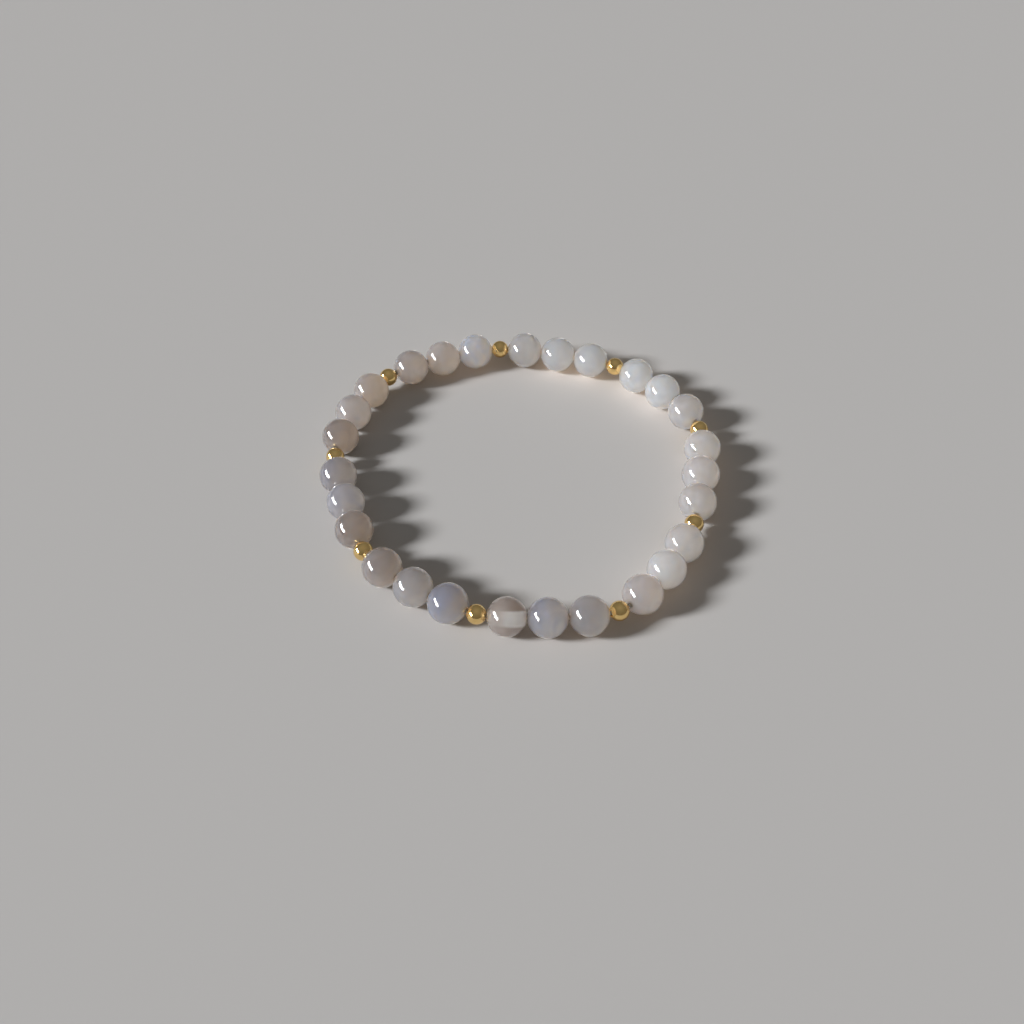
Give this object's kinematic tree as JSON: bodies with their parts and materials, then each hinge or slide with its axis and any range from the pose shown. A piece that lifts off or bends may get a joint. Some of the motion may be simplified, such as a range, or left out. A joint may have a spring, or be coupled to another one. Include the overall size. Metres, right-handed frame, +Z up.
{
  "type": "stone bead stretch bracelet",
  "caption": "Stretch bracelet of round polished milky stone beads with small gold balls between them, lying flat as a closed loop around an open wrist hollow.",
  "frame": {"origin": "bottom centre of the box around the bracelet, on the surface that it lies on", "axes": "+Z up out of the loop, +X and +Y across it; -Y is the side nearest the viewer"},
  "size_m": [0.0652, 0.0644, 0.0061],
  "materials": {
    "stone": "polished, milky and translucent, pale grey with lilac, blue and peach in it",
    "gold": "mirror-polished yellow gold plating",
    "thread": "milky clear elastic"
  },
  "bodies": {
    "root": {"elastic_thread": "thread", "gold_ball_1": "gold", "gold_ball_2": "gold", "gold_ball_3": "gold", "gold_ball_4": "gold", "gold_ball_5": "gold", "gold_ball_6": "gold", "gold_ball_7": "gold", "gold_ball_8": "gold", "gold_ball_9": "gold", "stone_bead_01": "stone", "stone_bead_02": "stone", "stone_bead_03": "stone", "stone_bead_04": "stone", "stone_bead_05": "stone", "stone_bead_06": "stone", "stone_bead_07": "stone", "stone_bead_08": "stone", "stone_bead_09": "stone", "stone_bead_10": "stone", "stone_bead_11": "stone", "stone_bead_12": "stone", "stone_bead_13": "stone", "stone_bead_14": "stone", "stone_bead_15": "stone", "stone_bead_16": "stone", "stone_bead_17": "stone", "stone_bead_18": "stone", "stone_bead_19": "stone", "stone_bead_20": "stone", "stone_bead_21": "stone", "stone_bead_22": "stone", "stone_bead_23": "stone", "stone_bead_24": "stone", "stone_bead_25": "stone", "stone_bead_26": "stone", "stone_bead_27": "stone"}
  },
  "joints": []
}
